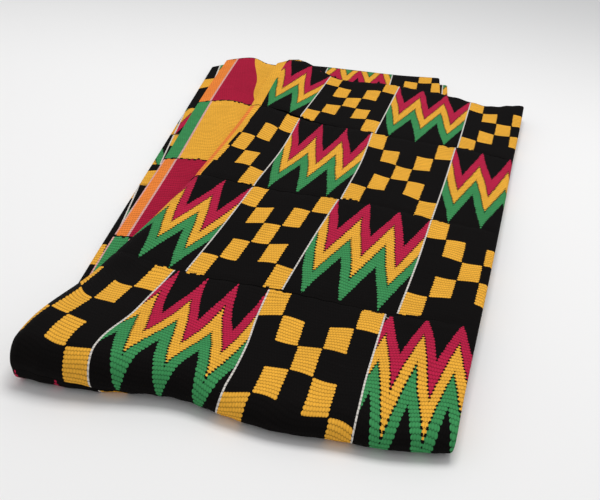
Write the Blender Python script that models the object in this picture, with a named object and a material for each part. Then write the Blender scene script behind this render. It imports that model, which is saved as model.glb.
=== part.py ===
"""Folded kente cloth.

Eight woven strips lie side by side and are sewn into one cloth. The cloth is folded back and forth from
side to side into four layers, and the four layers are then folded in half over a thick round fold at the
front. The front fold runs a little askew, so the lower half stands out on the left at the back.

The strips run along X, left to right. Y points away from the front fold and Z up. A place on the flat band
is given by its distance along the strips and by its distance behind the second seam from the front, which
is the origin until the finished cloth is centred.
"""
import math

import bmesh
import bpy
import numpy as np

# The woven cloth: where each strip ends on the flat band, from the upper far edge to the lower far edge
STRIP_EDGES = (0.292, 0.200, 0.100, 0.000, -0.092, -0.198, -0.296, -0.393, -0.486)
STRIP_COUNT = len(STRIP_EDGES) - 1
SEAM_GAP = 0.0004
SHEET = 0.0011

# The layers, counted from the outside in, and the distance between the middles of two of them
LAYERS = 4
PITCH = 0.0016
OUTER_DEPTH = (LAYERS - 0.5) * PITCH
FOLD_REACH = 0.0010

# The front fold: a point on its centre line, its angle to the strips, and how far it stands forward
FOLD_X = 0.019
FOLD_Y = -0.073
FOLD_ANGLE = math.radians(4.8)
FOLD_FORWARD = 0.008
HUMP_LENGTH = 0.070
SLIP_LENGTH = 0.060

# Where the layers end and turn, along X, for places along the flat band from its lower end to its upper end
LAYER_COLUMNS = ("flat_y", "outer_end", "left_fold", "inner_end", "right_fold", "inner_right_fold")
LAYER_ROWS = (
    (-0.500, -0.006, -0.0115, -0.004, 0.173, 0.166),
    (-0.400, -0.0065, -0.0125, -0.007, 0.170, 0.164),
    (-0.300, -0.007, -0.0135, -0.008, 0.167, 0.161),
    (-0.150, -0.010, -0.0145, -0.0112, 0.161, 0.156),
    (-0.100, -0.0165, -0.014, -0.010, 0.159, 0.154),
    (-0.060, -0.0212, -0.014, -0.009, 0.1585, 0.1535),
    (0.000, -0.0190, -0.010, -0.004, 0.1595, 0.1545),
    (0.050, -0.0155, -0.007, -0.003, 0.1605, 0.1555),
    (0.150, -0.0145, -0.008, -0.003, 0.162, 0.157),
    (0.200, -0.017, -0.011, -0.006, 0.1625, 0.1575),
    (0.250, -0.022, -0.016, -0.010, 0.1635, 0.1585),
    (0.300, -0.025, -0.019, -0.013, 0.164, 0.159),
)

# How much thicker the layers lie at the front fold than behind it, along X
HUMP_COLUMNS = ("x", "thickness")
HUMP_ROWS = (
    (-0.030, 1.65),
    (-0.018, 1.82),
    (0.000, 1.85),
    (0.030, 1.55),
    (0.071, 1.15),
    (0.120, 1.05),
    (0.170, 1.00),
)

# How far the nose of the front fold stands forward or is drawn back, along X
NOSE_COLUMNS = ("x", "forward")
NOSE_ROWS = (
    (-0.020, 0.0000),
    (0.000, 0.0014),
    (0.018, 0.0002),
    (0.034, -0.0024),
    (0.050, -0.0036),
    (0.070, 0.0005),
    (0.092, 0.0038),
    (0.115, 0.0030),
    (0.133, 0.0032),
    (0.150, 0.0006),
    (0.162, -0.0015),
)
NOSE_LENGTH = 0.045

# How far the far edges of the upper and the lower half stand out or are drawn in, along X
FAR_COLUMNS = ("x", "upper", "lower")
FAR_ROWS = (
    (-0.025, 0.006, -0.014),
    (-0.012, 0.012, -0.010),
    (0.000, 0.008, 0.003),
    (0.012, 0.002, 0.010),
    (0.030, -0.004, -0.003),
    (0.060, 0.002, 0.001),
    (0.100, -0.001, -0.001),
    (0.135, -0.007, -0.003),
    (0.164, 0.000, -0.001),
)

# Soft swellings of the upper half: x, y, half width along x, half width along y, height
SWELL_ROWS = (
    (0.070, 0.110, 0.060, 0.090, 0.0012),
    (0.120, 0.030, 0.050, 0.050, 0.0010),
    (-0.010, 0.310, 0.024, 0.045, 0.0052),
    (0.158, 0.295, 0.016, 0.045, 0.0040),
)

# The upper half sinks past the right edge of the lower half, and its free end hangs over on the left
SAG_DEPTH = 0.0042
SAG_WIDTH = 0.040
DROOP_FRONT = 0.0026
DROOP_BACK = 0.0008
DROOP_CHANGES_AT = (0.080, 0.150)

# Mesh steps
OVERHANG_STEPS = 3
FLAT_PLACES = (0.000, 0.013, 0.030, 0.052, 0.076, 0.098, 0.118, 0.134, 0.145, 0.152)
FLAT_STEPS = len(FLAT_PLACES) + 1
TURN_STEPS = 5
UPPER_STEPS = 4
LOWER_STEPS = 2
FRONT_STRIP = 3
FRONT_ROWS_BEHIND = (0.0, -0.022, -0.044)
TIP_ROWS = (0.0150, 0.0115, 0.0085, 0.0060, 0.0040, 0.0024, 0.0014, 0.0007, 0.0, -0.0007, -0.0014, -0.0024)
LAST_ROW_SHARES = (0.4, 1.0)
UNDER_ROWS = (-0.0007, -0.0014, -0.0024, -0.0040, -0.0060, -0.0085, -0.0115, -0.0150)
UNDER_LAST_SHARES = (0.10, 0.30, 0.60, 1.0)
LEAST_STEP = 0.0006

# The back-and-forth section from the outer free end to the inner one: kind, layer, steps, start and finish
STRETCH_ROWS = (
    ("overhang", 1, OVERHANG_STEPS, "outer_end", "support"),
    ("flat", 1, FLAT_STEPS, "support", "right_fold"),
    ("fold", 1, TURN_STEPS, "right_fold", "right_fold"),
    ("flat", 2, FLAT_STEPS, "right_fold", "left_fold"),
    ("fold", 2, TURN_STEPS, "left_fold", "left_fold"),
    ("flat", 3, FLAT_STEPS, "left_fold", "inner_right_fold"),
    ("fold", 3, TURN_STEPS, "inner_right_fold", "inner_right_fold"),
    ("flat", 4, FLAT_STEPS, "inner_right_fold", "inner_end"),
)
SUPPORT_BEYOND_FOLD = 0.001
LEAST_OVERHANG = 0.003

BLACK_YARN = (0.018, 0.017, 0.020)
GOLD_YARN = (0.76, 0.38, 0.035)
YARN_ROUGHNESS = 0.85


def column(rows, columns, name):
    """One named column of a table."""
    return np.array([row[columns.index(name)] for row in rows])


def smooth_step(value):
    """Rise from 0 to 1 with level ends as value goes from 0 to 1."""
    share = np.clip(value, 0.0, 1.0)
    return share * share * (3.0 - 2.0 * share)


def read_table(where, rows, columns, name):
    """Read a column smoothly: between two rows the value follows a cubic with the rows' mean slopes."""
    places = column(rows, columns, columns[0])
    values = column(rows, columns, name)
    slopes = np.gradient(values, places)
    low = np.clip(np.searchsorted(places, where) - 1, 0, len(places) - 2)
    step = places[low + 1] - places[low]
    share = np.clip((where - places[low]) / step, 0.0, 1.0)
    turn = smooth_step(share)
    start = share * (1.0 - share) ** 2 * step * slopes[low]
    finish = share ** 2 * (1.0 - share) * step * slopes[low + 1]
    return values[low] * (1.0 - turn) + values[low + 1] * turn + start - finish


def layer_depth(layer):
    """Distance of a layer's middle from the middle of the whole stack, layer 1 being the outermost."""
    return (LAYERS + 0.5 - layer) * PITCH


def section_steps():
    """The back-and-forth section as steps: the row of each point's stretch, and its share of that stretch."""
    stretches = [0]
    shares = [0.0]
    for number, (_, _, steps, _, _) in enumerate(STRETCH_ROWS):
        for step in range(1, steps + 1):
            stretches.append(number)
            shares.append(step / steps)
    return np.array(stretches), np.array(shares)


def flat_run(left, right, share):
    """Places along a flat layer: it passes the same places as every other layer between its own two ends."""
    count = len(FLAT_PLACES)
    step = share * (count + 1)
    inside = np.interp(step, np.arange(1, count + 1), FLAT_PLACES)
    from_left = left + (FLAT_PLACES[0] - left) * step
    to_right = right + (FLAT_PLACES[-1] - right) * (count + 1 - step)
    return np.where(step < 1.0, from_left, np.where(step > count, to_right, inside))


def layer_edges(flat_y):
    """Where the layers end and turn at places along the band, and where the outer layer is first carried."""
    edges = {name: read_table(flat_y, LAYER_ROWS, LAYER_COLUMNS, name) for name in LAYER_COLUMNS[1:]}
    for name, side in (("right_fold", -1.0), ("left_fold", 1.0), ("inner_right_fold", -1.0)):
        edges[name] = edges[name] + side * FOLD_REACH
    carried = edges["left_fold"] - FOLD_REACH - SUPPORT_BEYOND_FOLD
    edges["support"] = np.maximum(carried, edges["outer_end"] + LEAST_OVERHANG)
    return edges


def section(flat_y, stretches, shares):
    """Points of the back-and-forth section: flat layers joined by half ellipses at the side folds.

    Returns the place along X, the depth from the stack's middle, and an even depth, which passes from fold
    to fold along each flat layer and says how far the cloth has slipped round the front fold.
    """
    edges = layer_edges(flat_y)
    place = np.zeros_like(flat_y)
    depth = np.zeros_like(flat_y)
    even = np.zeros_like(flat_y)
    for number, (kind, layer, _, start, finish) in enumerate(STRETCH_ROWS):
        here = np.broadcast_to(stretches == number, place.shape)
        rightward = layer % 2 == 1
        if kind == "fold":
            run = edges[start] + (1.0 if rightward else -1.0) * FOLD_REACH * np.sin(math.pi * shares)
            level = layer_depth(layer + 0.5) + 0.5 * PITCH * np.cos(math.pi * shares)
            slipped = layer_depth(layer + 0.5)
        elif kind == "overhang":
            run = edges[start] + (edges[finish] - edges[start]) * shares
            level = layer_depth(layer)
            slipped = layer_depth(layer)
        else:
            left, right = (edges[start], edges[finish]) if rightward else (edges[finish], edges[start])
            run = flat_run(left, right, shares if rightward else 1.0 - shares)
            level = layer_depth(layer)
            first = layer_depth(max(layer - 0.5, 1.0))
            last = layer_depth(min(layer + 0.5, LAYERS))
            slipped = first + (last - first) * shares
        place = np.where(here, run, place)
        depth = np.where(here, level, depth)
        even = np.where(here, slipped, even)
    return place, depth, even


def quarter_length(forward, height):
    """Length of a quarter of an ellipse, by Ramanujan's rule."""
    total = 3.0 * (forward + height) - np.sqrt((3.0 * forward + height) * (forward + 3.0 * height))
    return 0.25 * math.pi * total


def wrap_front(place, flat_y, depth, even):
    """Carry points of the flat band round the front fold.

    The fold is a half ellipse about a centre line askew to the strips. Each layer keeps its length round
    it, so the inner layers reach further back, by an amount that follows the even depth behind the fold.
    Returns x, y, z and how much a point belongs to the upper half, from 1 on top to 0 underneath.
    """
    cosine = math.cos(FOLD_ANGLE)
    sine = math.sin(FOLD_ANGLE)
    along = (place - FOLD_X) * cosine + (flat_y - FOLD_Y) * sine
    behind = (flat_y - FOLD_Y) * cosine - (place - FOLD_X) * sine
    thick = read_table(place, HUMP_ROWS, HUMP_COLUMNS, "thickness")
    ratio = depth / OUTER_DEPTH
    outer_quarter = quarter_length(FOLD_FORWARD, thick * OUTER_DEPTH)
    quarter = outer_quarter * ratio
    from_tip = behind + outer_quarter
    turn = 0.5 * math.pi * np.clip(1.0 - from_tip / quarter, 0.0, 2.0)
    straight = np.abs(from_tip) - quarter
    slipped = (depth - even) / OUTER_DEPTH * outer_quarter * smooth_step(straight / SLIP_LENGTH)
    across = np.where(straight > 0.0, straight + slipped, -FOLD_FORWARD * ratio * np.sin(turn))
    local = 1.0 + (thick - 1.0) * smooth_step(1.0 - across / HUMP_LENGTH)
    middle = local * OUTER_DEPTH + 0.5 * SHEET
    x = FOLD_X + along * cosine - across * sine
    y = FOLD_Y + along * sine + across * cosine
    z = middle + local * depth * np.cos(turn)
    return x, y, z, 0.5 + 0.5 * np.cos(turn)


def swelling(x, y):
    """Sum of round soft swellings, each a Gaussian."""
    total = np.zeros_like(x)
    for centre_x, centre_y, wide_x, wide_y, height in SWELL_ROWS:
        total = total + height * np.exp(-((x - centre_x) / wide_x) ** 2 - ((y - centre_y) / wide_y) ** 2)
    return total


def sinking(x, y):
    """How far the upper half sinks past the lower half's right edge.

    The edge leans left by twice the fold's angle.
    """
    edge = LAYER_ROWS[0][LAYER_COLUMNS.index("right_fold")] - (y - FOLD_Y) * math.tan(2.0 * FOLD_ANGLE)
    clear = smooth_step((y - FOLD_Y) / 0.15)
    return SAG_DEPTH * clear * smooth_step((x - edge - 0.002) / SAG_WIDTH)


def drooping(place, flat_y, stretches):
    """How far the outer layer's free end hangs down beyond the left fold under it, growing as a square."""
    edges = layer_edges(flat_y)
    share = np.clip((edges["support"] - place) / (edges["support"] - edges["outer_end"]), 0.0, 1.0)
    start, finish = DROOP_CHANGES_AT
    flatter = smooth_step((flat_y - start) / (finish - start))
    depth = DROOP_FRONT + (DROOP_BACK - DROOP_FRONT) * flatter
    return np.where(stretches <= 1, depth * share ** 2, 0.0)


def cloth_middle(flat_y, stretches, shares):
    """Middle of the folded cloth for places on the flat band, as an array of points."""
    place, depth, even = section(flat_y, stretches, shares)
    x, y, z, upper = wrap_front(place, flat_y, depth, even)
    forward = read_table(place, NOSE_ROWS, NOSE_COLUMNS, "forward")
    y = y - forward * smooth_step(1.0 - (y - FOLD_Y) / NOSE_LENGTH)
    far = read_table(place, FAR_ROWS, FAR_COLUMNS, "upper")
    y = y + upper * far * np.clip(flat_y / STRIP_EDGES[0], 0.0, 1.0) ** 3
    far = read_table(place, FAR_ROWS, FAR_COLUMNS, "lower")
    y = y + (1.0 - upper) * far * np.clip(flat_y / STRIP_EDGES[-1], 0.0, 1.0) ** 3
    z = z + upper * (swelling(x, y) - sinking(x, y) - drooping(place, flat_y, stretches))
    return np.stack([x, y, z], axis=-1)


def cloth_normal(flat_y, stretches, shares):
    """Unit normals of the middle surface, from its slopes across and along the strips."""
    small = 0.0001
    ahead = cloth_middle(flat_y + small, stretches, shares)
    back = cloth_middle(flat_y - small, stretches, shares)
    points = cloth_middle(flat_y, stretches, shares)
    normal = np.cross(np.gradient(points, axis=1), ahead - back)
    return normal / np.linalg.norm(normal, axis=-1, keepdims=True)


def nose_place(stretches, shares):
    """Flat place of the front fold's nose for each step of the section."""
    level = np.full((1, len(stretches)), FOLD_Y)
    place, _, _ = section(level, stretches, shares)
    thick = read_table(place, HUMP_ROWS, HUMP_COLUMNS, "thickness")
    quarter = quarter_length(FOLD_FORWARD, thick * OUTER_DEPTH)
    return FOLD_Y + (place - FOLD_X) * math.tan(FOLD_ANGLE) - quarter


def rows_over_nose(nose, start, finish):
    """Rows of the strip that goes over the nose: even at first, then closer as they follow the nose."""
    behind = [np.full_like(nose, start + offset) for offset in FRONT_ROWS_BEHIND]
    over = nose + TIP_ROWS[0]
    under = np.maximum(nose + TIP_ROWS[-1], finish + LEAST_STEP)
    reach = TIP_ROWS[0] - TIP_ROWS[-1]
    around = [over + (under - over) * (TIP_ROWS[0] - offset) / reach for offset in TIP_ROWS]
    last = [under + (finish - under) * share for share in LAST_ROW_SHARES]
    return np.concatenate(behind + around + last, axis=0)


def rows_under_nose(nose, start, finish):
    """Rows of the first strip underneath: they follow the nose where it turns into this strip."""
    first = [np.full_like(nose, start)]
    highest = [start - LEAST_STEP * (number + 1) for number in range(len(UNDER_ROWS))]
    around = [np.minimum(limit, nose + offset) for limit, offset in zip(highest, UNDER_ROWS)]
    last = [around[-1] + (finish - around[-1]) * share for share in UNDER_LAST_SHARES]
    return np.concatenate(first + around + last, axis=0)


def strip_rows(index, stretches, shares):
    """Flat places of a strip's mesh rows: even rows, but rows that follow the front fold where it turns."""
    start = STRIP_EDGES[index] - 0.5 * SEAM_GAP
    finish = STRIP_EDGES[index + 1] + 0.5 * SEAM_GAP
    if index == FRONT_STRIP:
        return rows_over_nose(nose_place(stretches, shares), start, finish)
    if index == FRONT_STRIP + 1:
        return rows_under_nose(nose_place(stretches, shares), start, finish)
    steps = UPPER_STEPS if index < FRONT_STRIP else LOWER_STEPS
    return np.repeat(np.linspace(start, finish, steps + 1)[:, None], len(stretches), axis=1)


def strip_shell(index):
    """Upper and lower side of a strip as two grids of points, half the sheet's thickness from its middle."""
    stretches, shares = section_steps()
    flat_y = strip_rows(index, stretches, shares)
    middle = cloth_middle(flat_y, stretches, shares)
    normal = cloth_normal(flat_y, stretches, shares)
    return middle + 0.5 * SHEET * normal, middle - 0.5 * SHEET * normal


def grid_faces(first, rows, columns, offset):
    """Quads between neighbouring rows and columns of a grid of vertices."""
    for row in range(rows - 1):
        for step in range(columns - 1):
            corner = offset + row * columns + step
            yield first[corner], first[corner + 1], first[corner + columns + 1], first[corner + columns]


def rim_indices(rows, columns):
    """Indices round the rim of a grid, in order."""
    front = [step for step in range(columns)]
    right = [row * columns + columns - 1 for row in range(1, rows)]
    back = [(rows - 1) * columns + step for step in range(columns - 2, -1, -1)]
    left = [row * columns for row in range(rows - 2, 0, -1)]
    return front + right + back + left


def build_strip(index, centre):
    """One woven strip as a closed sheet: two grids joined round their rims."""
    upper, lower = strip_shell(index)
    rows, columns = upper.shape[:2]
    shape = bmesh.new()
    points = np.concatenate([upper.reshape(-1, 3), lower.reshape(-1, 3)]) - centre
    vertices = [shape.verts.new(point) for point in points]
    count = rows * columns
    for face in grid_faces(vertices, rows, columns, 0):
        shape.faces.new(face)
    for face in grid_faces(vertices, rows, columns, count):
        shape.faces.new(face)
    rim = rim_indices(rows, columns)
    for here, following in zip(rim, rim[1:] + rim[:1]):
        shape.faces.new((vertices[here], vertices[following], vertices[following + count], vertices[here + count]))
    bmesh.ops.recalc_face_normals(shape, faces=shape.faces)
    bmesh.ops.triangulate(shape, faces=shape.faces)
    name = f"strip_{index + 1}"
    mesh = bpy.data.meshes.new(name)
    shape.to_mesh(mesh)
    shape.free()
    strip = bpy.data.objects.new(name, mesh)
    bpy.context.scene.collection.objects.link(strip)
    strip.data.materials.append(yarn_material(name + "_yarn", BLACK_YARN if index % 2 == 0 else GOLD_YARN))
    return strip


def yarn_material(name, colour):
    """Plain woven cotton of one colour."""
    material = bpy.data.materials.new(name)
    material.use_nodes = True
    shader = material.node_tree.nodes["Principled BSDF"]
    shader.inputs["Base Color"].default_value = (*colour, 1.0)
    shader.inputs["Roughness"].default_value = YARN_ROUGHNESS
    shader.inputs["Metallic"].default_value = 0.0
    return material


def cloth_centre():
    """Bottom centre of the whole cloth's box."""
    shells = [strip_shell(index) for index in range(STRIP_COUNT)]
    points = np.concatenate([side.reshape(-1, 3) for shell in shells for side in shell])
    low = points.min(axis=0)
    high = points.max(axis=0)
    return np.array([0.5 * (low[0] + high[0]), 0.5 * (low[1] + high[1]), low[2]])


def build_cloth():
    """All strips, with the origin at the bottom centre."""
    for item in list(bpy.data.objects):
        bpy.data.objects.remove(item, do_unlink=True)
    centre = cloth_centre()
    for index in range(STRIP_COUNT):
        build_strip(index, centre)


build_cloth()
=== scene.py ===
"""Looks of the folded kente cloth.

Each woven strip is a thin closed sheet that follows the folds of its solid. The woven blocks, ribs and
yarn are drawn by one shared group of shader nodes that reads lengths measured along the cloth.
"""
import math

import bpy
import numpy as np
from mathutils import Matrix


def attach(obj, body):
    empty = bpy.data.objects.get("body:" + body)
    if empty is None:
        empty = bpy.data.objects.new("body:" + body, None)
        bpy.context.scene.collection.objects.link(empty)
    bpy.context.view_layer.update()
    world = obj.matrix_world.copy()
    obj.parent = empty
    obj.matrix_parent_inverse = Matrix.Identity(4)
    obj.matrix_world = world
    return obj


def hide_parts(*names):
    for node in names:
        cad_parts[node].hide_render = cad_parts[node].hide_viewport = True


# The woven cloth: where each strip ends on the flat band, from the upper far edge to the lower far edge
STRIP_EDGES = (0.292, 0.200, 0.100, 0.000, -0.092, -0.198, -0.296, -0.393, -0.486)
STRIP_COUNT = len(STRIP_EDGES) - 1
STRIP_WIDTH = 0.100
SEAM_GAP = 0.0001
SHEET = 0.0011
CLOTH_CENTRE = (0.042834, 0.129405, 0.0)

# The layers and the front fold, as in the solids
LAYERS = 4
PITCH = 0.0016
OUTER_DEPTH = (LAYERS - 0.5) * PITCH
FOLD_REACH = 0.0010
FOLD_X = 0.019
FOLD_Y = -0.073
FOLD_ANGLE = math.radians(4.8)
FOLD_FORWARD = 0.008
HUMP_LENGTH = 0.070
SLIP_LENGTH = 0.060
NOSE_LENGTH = 0.045

# Where the layers end and turn, along X, for places along the flat band from its lower end to its upper end
LAYER_COLUMNS = ("flat_y", "outer_end", "left_fold", "inner_end", "right_fold", "inner_right_fold")
LAYER_ROWS = (
    (-0.500, -0.006, -0.0115, -0.004, 0.173, 0.166),
    (-0.400, -0.0065, -0.0125, -0.007, 0.170, 0.164),
    (-0.300, -0.007, -0.0135, -0.008, 0.167, 0.161),
    (-0.150, -0.010, -0.0145, -0.0112, 0.161, 0.156),
    (-0.100, -0.0165, -0.014, -0.010, 0.159, 0.154),
    (-0.060, -0.0212, -0.014, -0.009, 0.1585, 0.1535),
    (0.000, -0.0190, -0.010, -0.004, 0.1595, 0.1545),
    (0.050, -0.0155, -0.007, -0.003, 0.1605, 0.1555),
    (0.150, -0.0145, -0.008, -0.003, 0.162, 0.157),
    (0.200, -0.017, -0.011, -0.006, 0.1625, 0.1575),
    (0.250, -0.022, -0.016, -0.010, 0.1635, 0.1585),
    (0.300, -0.025, -0.019, -0.013, 0.164, 0.159),
)

# How much thicker the layers lie at the front fold than behind it, along X
HUMP_COLUMNS = ("x", "thickness")
HUMP_ROWS = (
    (-0.030, 1.65),
    (-0.018, 1.82),
    (0.000, 1.85),
    (0.030, 1.55),
    (0.071, 1.15),
    (0.120, 1.05),
    (0.170, 1.00),
)

# How far the nose of the front fold stands forward or is drawn back, along X
NOSE_COLUMNS = ("x", "forward")
NOSE_ROWS = (
    (-0.020, 0.0000),
    (0.000, 0.0014),
    (0.018, 0.0002),
    (0.034, -0.0024),
    (0.050, -0.0036),
    (0.070, 0.0005),
    (0.092, 0.0038),
    (0.115, 0.0030),
    (0.133, 0.0032),
    (0.150, 0.0006),
    (0.162, -0.0015),
)

# How far the far edges of the upper and the lower half stand out or are drawn in, along X
FAR_COLUMNS = ("x", "upper", "lower")
FAR_ROWS = (
    (-0.025, 0.006, -0.014),
    (-0.012, 0.012, -0.010),
    (0.000, 0.008, 0.003),
    (0.012, 0.002, 0.010),
    (0.030, -0.004, -0.003),
    (0.060, 0.002, 0.001),
    (0.100, -0.001, -0.001),
    (0.135, -0.007, -0.003),
    (0.164, 0.000, -0.001),
)

# Soft swellings of the upper half: x, y, half width along x, half width along y, height
SWELL_ROWS = (
    (0.070, 0.110, 0.060, 0.090, 0.0012),
    (0.120, 0.030, 0.050, 0.050, 0.0010),
    (-0.010, 0.310, 0.024, 0.045, 0.0052),
    (0.158, 0.295, 0.016, 0.045, 0.0040),
)
SAG_DEPTH = 0.0042
SAG_WIDTH = 0.040
SAG_MARGIN = 0.002
SAG_GROWS_OVER = 0.15
DROOP_FRONT = 0.0026
DROOP_BACK = 0.0008
DROOP_CHANGES_AT = (0.080, 0.150)
SUPPORT_BEYOND_FOLD = 0.001
LEAST_OVERHANG = 0.003

# The back-and-forth section from the outer free end to the inner one: kind, layer, steps, start and finish
STRETCH_ROWS = (
    ("overhang", 1, 6, "outer_end", "support"),
    ("flat", 1, 84, "support", "right_fold"),
    ("fold", 1, 10, "right_fold", "right_fold"),
    ("flat", 2, 26, "right_fold", "left_fold"),
    ("fold", 2, 10, "left_fold", "left_fold"),
    ("flat", 3, 26, "left_fold", "inner_right_fold"),
    ("fold", 3, 10, "inner_right_fold", "inner_right_fold"),
    ("flat", 4, 60, "inner_right_fold", "inner_end"),
)
OUTER_STRETCHES = 1

# Distance over which slopes are measured
NORMAL_STEP = 0.0001

# Rows of the sheets across a strip
ROW_COUNT = 46
FRONT_STRIP = 3
ROWS_BEHIND_NOSE = 30
ROWS_ROUND_NOSE = 44
ROWS_UNDER_NOSE = 6
NOSE_ABOVE = 0.016
NOSE_BELOW = 0.003
LEAST_UNDER_NOSE = 0.001
UNDER_NOSE_CROWDING = 1.7

# How the seams between the upper strips run: their flat places in millimetres, along X in millimetres
SEAM_COLUMNS = ("x", "seam_1", "seam_2", "seam_3")
SEAM_ROWS = (
    (-24.0, 211.0, 101.0, 9.0),
    (-12.0, 211.3, 100.4, 6.5),
    (0.0, 211.5, 99.5, 3.4),
    (24.0, 204.0, 96.5, -0.5),
    (47.0, 199.5, 96.0, 0.2),
    (71.0, 198.3, 98.3, 0.6),
    (95.0, 195.6, 98.5, -0.8),
    (118.0, 197.8, 94.8, -1.2),
    (142.0, 199.5, 94.5, 1.5),
    (166.0, 201.0, 96.0, 1.5),
)
LOWER_SEAM_WAVER = 0.0008
LOWER_SEAM_LENGTH = 0.021
LOWER_SEAM_TURN = 40.0

# Where white lines cross the upper strips, in millimetres, by strip and share across it from its near seam
LINE_COLUMNS = ("strip", "across", "line_1", "line_2", "line_3", "line_4")
LINE_ROWS = (
    (1, 0.00, 19.8, 73.0, 127.3, 179.0),
    (1, 0.50, 19.8, 72.7, 127.0, 179.0),
    (1, 1.00, 19.8, 72.2, 126.6, 178.0),
    (2, 0.00, 23.3, 73.8, 125.5, 178.0),
    (2, 0.50, 23.7, 74.2, 126.1, 178.5),
    (2, 1.00, 20.2, 71.0, 126.1, 178.5),
    (3, 0.00, 21.6, 69.2, 123.7, 176.0),
    (3, 0.50, 22.9, 70.6, 125.2, 177.5),
    (3, 1.00, 23.3, 72.6, 125.4, 178.0),
    (4, 0.00, 15.7, 66.2, 121.7, 170.0),
    (4, 0.25, 13.5, 68.4, 121.0, 169.5),
    (4, 0.50, 15.8, 67.8, 119.6, 169.0),
    (4, 0.75, 15.4, 65.0, 119.1, 169.0),
    (4, 1.00, 16.3, 63.3, 118.7, 169.0),
)
LINE_COUNT = 4
BLOCK_LENGTH = 0.05248
BLOCK_START = 0.0187

# How far the rows of a strip's pattern are drawn towards its far seam, as a share of its width, along X,
# by a cubic that is scaled to peak at 1
CUBIC_SCALE = 27.0 / 4.0
BEND_COLUMNS = ("x", "strip_1", "strip_2", "strip_3", "strip_4")
BEND_ROWS = (
    (-24.0, 0.00, 0.00, -0.02, 0.12),
    (-15.0, 0.00, -0.03, -0.02, 0.04),
    (-5.0, 0.00, -0.04, -0.03, -0.02),
    (8.0, 0.00, -0.04, -0.03, -0.05),
    (30.0, 0.00, -0.05, -0.035, -0.05),
    (60.0, 0.00, -0.05, 0.01, -0.06),
    (75.0, 0.00, -0.035, 0.00, -0.03),
    (100.0, 0.00, -0.035, 0.00, -0.015),
    (120.0, 0.00, -0.03, -0.01, 0.025),
    (145.0, 0.00, -0.03, -0.02, 0.07),
    (166.0, 0.00, -0.03, -0.02, 0.07),
)

# The lower rows of the front strip are drawn as well, as a share of its width, along X
LOW_BEND_COLUMNS = ("x", "drawn")
LOW_BEND_ROWS = (
    (-24.0, -0.03),
    (-5.0, -0.05),
    (10.0, -0.02),
    (30.0, 0.00),
    (62.0, 0.01),
    (80.0, 0.05),
    (104.0, 0.045),
    (125.0, 0.010),
    (145.0, -0.025),
    (166.0, -0.03),
)

# The rows also waver along a strip: share of its width, length of a wave, and its lean across the strip
WAVER_HEIGHT = 0.014
WAVER_LENGTH = 0.031
WAVER_LEAN = 0.042
WAVER_LEANS_FROM = 0.8
WAVER_FADES_WITHIN = 0.125
WAVER_STARTS = (0.012, 0.020, 0.035, 0.092, 0.010, 0.030, 0.050, 0.070)

# The blocks of the lower half's inner layers stray from the outer ones, counted in blocks, and the fold that
# shows at its left has slipped by a share of a strip
INNER_STRAYS = (0.0, 0.0, 0.0, 0.0, 0.0, 0.75, 0.63, -0.55)
INNER_STRAY_LENGTH = 0.160
LEFT_FOLD_SLIPS = {5: 0.28, 6: 0.50}
LEFT_FOLD_WIDTH = 0.012
LEFT_FOLD_STRETCHES = (3, 4, 5)
LAST_STRIP_CUT = 0.45

# Edges sharper than this stay sharp
SHARP_ANGLE = math.radians(50.0)

# Small unevenness along the seams
SEAM_TROUGH = 0.00045
SEAM_TROUGH_WIDTH = 0.0022
PUCKER_HEIGHT = 0.00026
PUCKER_LENGTH = 0.0105
PUCKER_REACH = 0.011
PUCKER_STEP = 2.4
PUCKER_WANDER = 1.7
PUCKER_WANDER_LENGTH = 0.013
PUCKER_WANDER_STEP = 2.0
RIPPLE_HEIGHT = 0.00045
RIPPLE_STEP = 1.3
SHORT_RIPPLE = 0.017
SHORT_RIPPLE_TURN = 2.1
LONG_RIPPLE = 0.045
LONG_RIPPLE_TURN = 3.1
LONG_RIPPLE_START = 0.6
RELIEF_FADES_OVER = 0.006

# Yarn colours, linear
BLACK = (0.0042, 0.0035, 0.0034)
GOLD = (0.80, 0.395, 0.041)
MAGENTA = (0.455, 0.0135, 0.056)
GREEN = (0.044, 0.255, 0.084)
WHITE = (0.66, 0.62, 0.57)
ORANGE = (0.82, 0.225, 0.040)
CRIMSON = (0.38, 0.009, 0.040)
PINK = (0.66, 0.36, 0.33)
YARNS = {"green": GREEN, "gold": GOLD, "orange": ORANGE, "crimson": CRIMSON}

# Bars woven across the free ends: how far each reaches from its end, in millimetres, and two bars' yarn
END_COLUMNS = (
    "outer_line",
    "outer_bar",
    "outer_taper",
    "edge_line",
    "first_bar",
    "second_bar",
    "second_slant",
    "third_bar",
    "first_yarn",
    "second_yarn",
)
YARNS_FROM = END_COLUMNS.index("first_yarn")
END_ROWS = (
    (0.0, 6.8, 0.0, 0.0, 11.5, 42.0, 0.0, 42.0, "green", "gold"),
    (2.6, 6.6, 3.4, 0.8, 8.0, 38.0, 0.0, 38.0, "orange", "crimson"),
    (0.0, 0.0, 0.0, 0.0, 11.5, 42.0, 0.0, 42.0, "green", "gold"),
    (0.0, 0.0, 0.0, 0.8, 8.0, 38.0, 0.0, 38.0, "orange", "crimson"),
    (0.0, 0.0, 0.0, 0.8, 8.5, 42.0, 0.0, 42.0, "green", "gold"),
    (0.0, 0.0, 0.0, 0.8, 6.4, 40.0, 0.0, 40.0, "orange", "crimson"),
    (0.0, 0.0, 0.0, 0.0, 7.2, 45.0, 0.0, 45.0, "green", "gold"),
    (0.0, 0.0, 0.0, 0.0, 6.4, 21.0, 20.0, 54.0, "orange", "crimson"),
)

# The zigzag: how high the edges of its bands peak and how low they dip, as shares of the strip's width, and
# where in its block each strip's first peak stands
BAND_ROWS = ((1.000, 0.635), (0.817, 0.415), (0.585, 0.213), (0.382, 0.008))
FIRST_PEAKS = (0.0, 0.0, 0.0, 0.055, 0.0, 0.0, 0.0, 0.0)

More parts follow.
